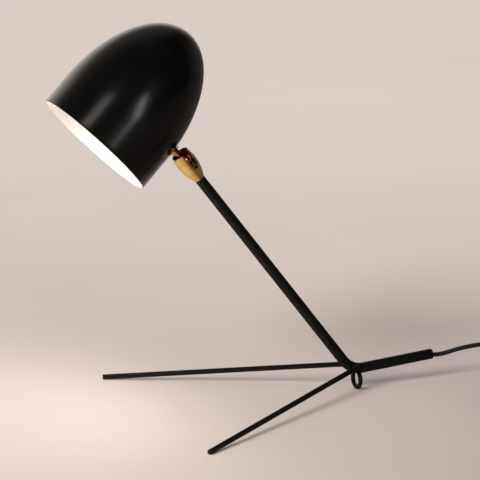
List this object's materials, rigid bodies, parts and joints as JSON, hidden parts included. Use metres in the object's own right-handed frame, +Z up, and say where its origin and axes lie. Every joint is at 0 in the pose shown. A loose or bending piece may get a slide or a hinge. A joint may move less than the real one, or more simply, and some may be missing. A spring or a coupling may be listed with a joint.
{
  "type": "tripod table lamp",
  "caption": "Bell-shaped shade hung by its side from a brass ball swivel on a bent tube arm that stands on rod legs and a small ring foot, with a mains lead.",
  "frame": {"origin": "on the table, at the middle of the flat under the foot ring", "axes": "+X towards the open end of the rear tube, away from the shade; +Z up; +Y to the right seen from the rear tube's end looking at the shade, so the plane y = 0 holds the arm"},
  "size_m": [0.5021, 0.3107, 0.3663],
  "materials": {
    "black_lacquer": "satin-gloss black lacquer",
    "polished_brass": "polished, slightly warm",
    "contact_brass": "plain pressed brass",
    "plated_steel": "zinc plated",
    "pin_metal": "nickel plated",
    "black_plastic": "fine moulded grain",
    "cord_pvc": "smooth flexible plastic sheath",
    "core_insulation": "insulated single cores",
    "white_sleeve": "heat-proof glass-fibre sleeve",
    "ceramic": "glazed steatite",
    "red_fibre": "vulcanised fibre",
    "opal_glass": "opal"
  },
  "bodies": {
    "stand": {"arm_tube": "black_lacquer", "left_leg": "black_lacquer", "right_leg": "black_lacquer", "foot_ring": "black_lacquer", "cord_bush": "black_plastic", "arm_flex": "cord_pvc", "cord_lead": "cord_pvc", "switch_base": "black_plastic", "switch_lid": "black_plastic", "switch_contacts": "contact_brass", "switch_wires": "core_insulation", "switch_screws": "plated_steel", "cord_link": "cord_pvc", "cord_coil": "cord_pvc", "coil_tie": "black_plastic", "cord_end": "cord_pvc", "plug_body": "black_plastic", "plug_pins": "pin_metal"},
    "swivel": {"swivel_base": "polished_brass", "swivel_cup": "polished_brass", "ball_seat": "red_fibre", "spring_washers": "plated_steel", "swivel_wires": "core_insulation"},
    "ball": {"swivel_ball": "polished_brass", "stem_washer": "plated_steel", "stem_nut": "contact_brass", "stem_wires": "core_insulation"},
    "head": {"shade": "black_lacquer", "saddle_washer": "red_fibre", "holder_bracket": "plated_steel", "holder_nipple": "plated_steel", "holder_nut": "plated_steel", "holder_cap": "black_plastic", "holder_shell": "black_plastic", "contact_block": "ceramic", "thread_liner": "contact_brass", "centre_contact": "contact_brass", "holder_leads": "white_sleeve", "bulb_base": "pin_metal", "bulb_mount": "opal_glass", "bulb_glass": "opal_glass"},
    "rocker": {"switch_rocker": "black_plastic"}
  },
  "joints": [
    {"name": "swivel_turn", "type": "hinge", "parent": "stand", "child": "swivel", "pos_m": [-0.16586, 0, 0.22365], "axis": [-0.6157, 0, 0.788], "range_deg": [-170, 170]},
    {"name": "ball_tilt", "type": "hinge", "parent": "swivel", "child": "ball", "pos_m": [-0.18032, 0, 0.24217], "axis": [0.7494, 0.309, 0.5855], "range_deg": [-1, 115]},
    {"name": "shade_spin", "type": "hinge", "parent": "ball", "child": "head", "pos_m": [-0.18032, 0, 0.24217], "axis": [-0.6609, 0.4019, 0.6338], "range_deg": [-160, 160]},
    {"name": "rocker_press", "type": "hinge", "parent": "stand", "child": "rocker", "pos_m": [0.19, -0.078, 0.0126], "axis": [1, 0, 0], "range_deg": [-12, 0]}
  ]
}
